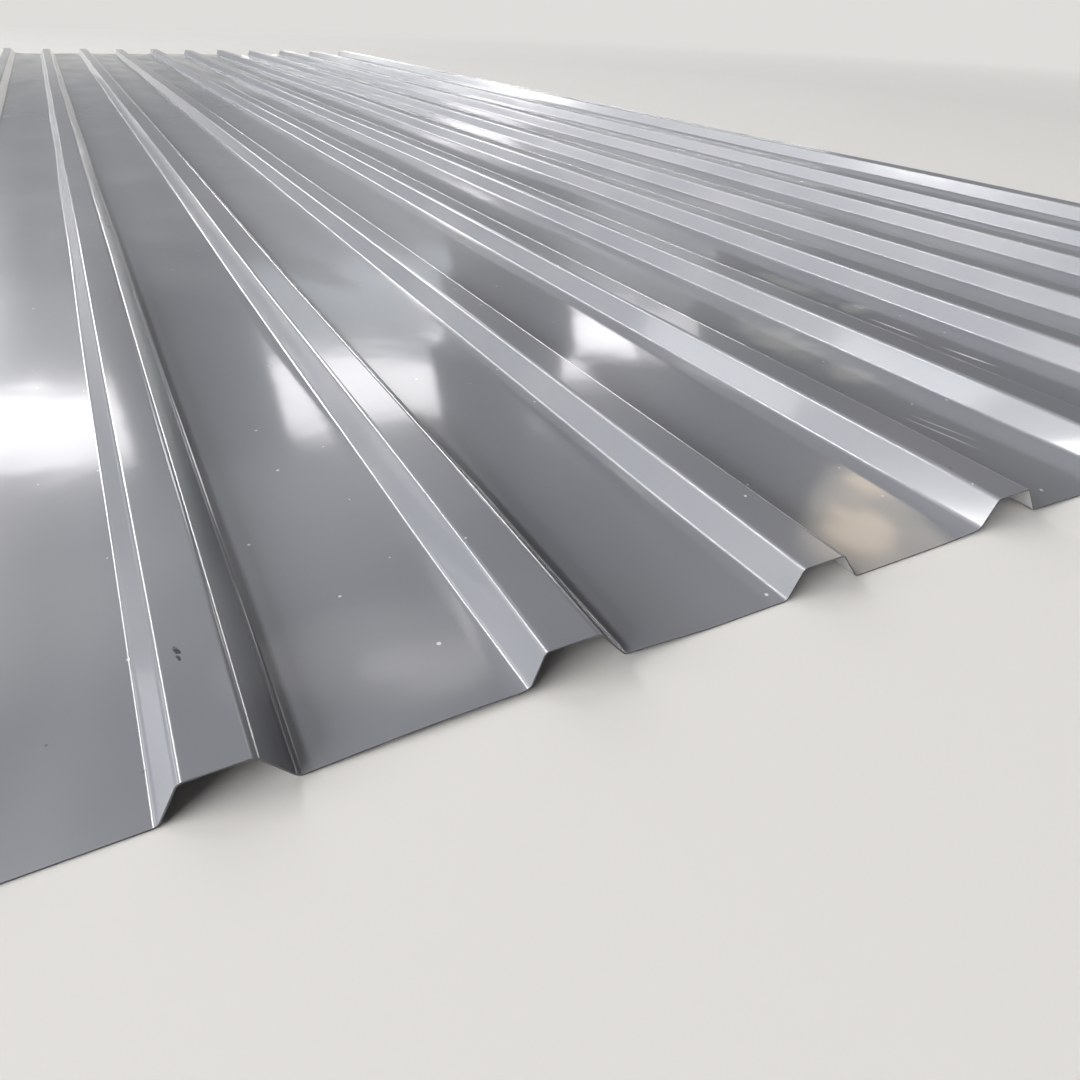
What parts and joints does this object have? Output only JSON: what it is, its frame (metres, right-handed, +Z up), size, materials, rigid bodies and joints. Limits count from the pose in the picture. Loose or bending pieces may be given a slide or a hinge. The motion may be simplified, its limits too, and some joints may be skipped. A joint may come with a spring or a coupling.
{
  "type": "trapezoidal profiled metal sheet",
  "caption": "Long rolled sheet of painted steel with narrow straight trapezoidal ribs, wide flat pans between them and a lapping rib along each side.",
  "frame": {"origin": "middle of the sheet's outline, on the level of the pans' undersides", "axes": "+Y along the ribs; +X across them, from the overlapping edge to the lapped edge; +Z up, out of the painted face"},
  "size_m": [1.0418, 3, 0.0125],
  "materials": {
    "grey_paint": "glossy cool grey coil coating on galvanised steel, bare along the sheared edges"
  },
  "bodies": {
    "root": {"corrugated_sheet": "grey_paint"}
  },
  "joints": []
}
